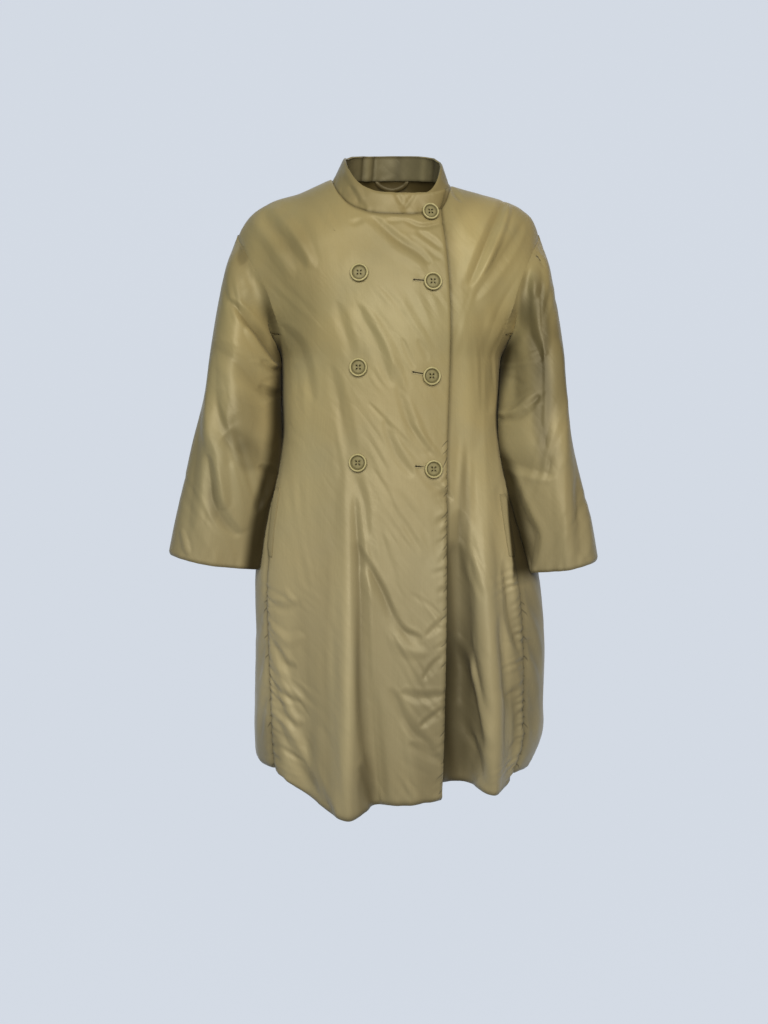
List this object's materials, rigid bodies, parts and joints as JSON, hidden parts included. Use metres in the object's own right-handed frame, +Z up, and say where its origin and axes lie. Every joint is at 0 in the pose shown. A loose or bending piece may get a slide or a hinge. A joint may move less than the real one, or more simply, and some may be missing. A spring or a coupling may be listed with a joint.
{
  "type": "double-breasted coat",
  "caption": "Hollow double-breasted coat with a stand collar, wide cropped sleeves, in-seam pockets and round buttons, the right front lapping over the left.",
  "frame": {"origin": "Middle of the neck at the level of the shoulder line, where the wearer's shoulders and neck hold the coat", "axes": "+Z up along the coat, the front faces -Y, +X towards the wearer's left"},
  "size_m": [0.621, 0.3263, 0.949],
  "materials": {
    "cloth": "light plain-woven nylon in khaki and gold, soft satin sheen",
    "button": "glossy khaki resin"
  },
  "bodies": {
    "root": {"front_right": "cloth", "front_left": "cloth", "back": "cloth", "sleeve_right": "cloth", "sleeve_left": "cloth", "collar": "cloth", "hanger_loop": "cloth", "pocket_right": "cloth", "pocket_left": "cloth", "button_collar": "button", "button_right_1": "button", "button_right_2": "button", "button_right_3": "button", "button_left_1": "button", "button_left_2": "button", "button_left_3": "button"}
  },
  "joints": []
}
